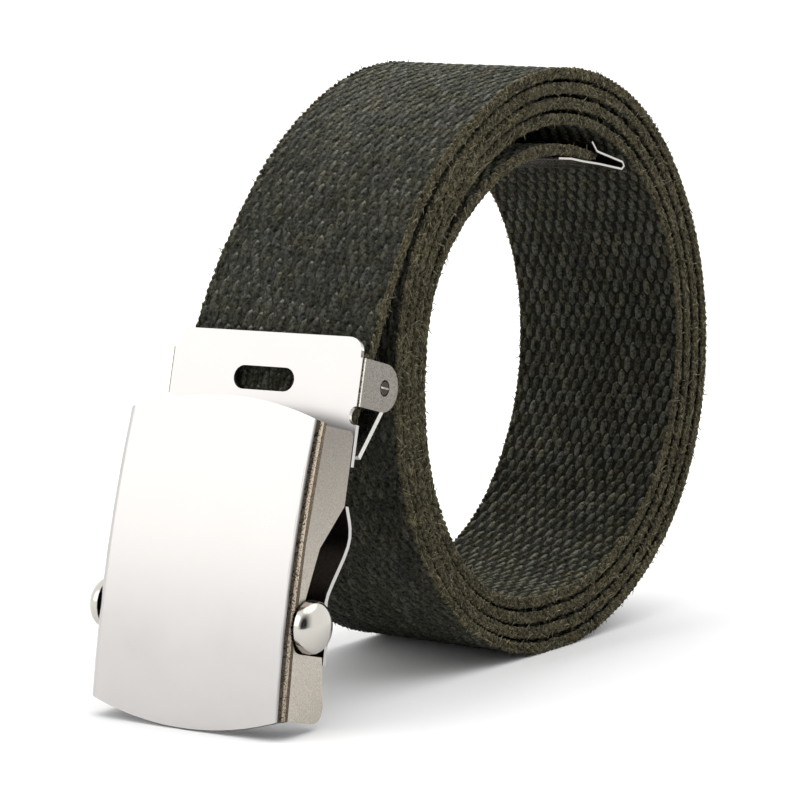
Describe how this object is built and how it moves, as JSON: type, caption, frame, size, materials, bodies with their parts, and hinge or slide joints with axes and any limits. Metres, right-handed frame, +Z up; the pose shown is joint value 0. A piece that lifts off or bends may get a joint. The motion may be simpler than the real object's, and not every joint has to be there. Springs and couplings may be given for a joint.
{
  "type": "canvas web belt",
  "caption": "Rolled-up canvas web belt with a slide-and-clamp roller buckle and a folded metal tip.",
  "frame": {"origin": "middle of the base of the whole belt, on the surface that it stands on", "axes": "+Z up, +X across the webbing, -Y towards the buckle's face, +Y along the belt's length when coiled"},
  "size_m": [0.0496, 0.1472, 0.1132],
  "materials": {
    "webbing": "coarse brick-patterned olive cotton webbing with fuzzy edges",
    "nickel_face": "satin nickel-plated sheet",
    "nickel_bright": "polished nickel plate"
  },
  "bodies": {
    "belt": {"webbing_strap": "webbing", "strap_tip": "nickel_bright", "face_frame": "nickel_face", "back_plate": "nickel_face"},
    "roller": {"roller_bar": "nickel_bright", "knob_left": "nickel_bright", "knob_right": "nickel_bright"},
    "flap": {"clamp_flap": "nickel_face"}
  },
  "joints": [
    {"name": "roller_slide", "type": "slide", "parent": "belt", "child": "roller", "axis": [-0.0317, 0.4899, 0.8712], "range_m": [0, 0.013]},
    {"name": "flap_hinge", "type": "hinge", "parent": "belt", "child": "flap", "pos_m": [-0.00163, -0.03912, 0.0572], "axis": [0.9979, 0.0645, 0], "range_deg": [0, 40]}
  ]
}
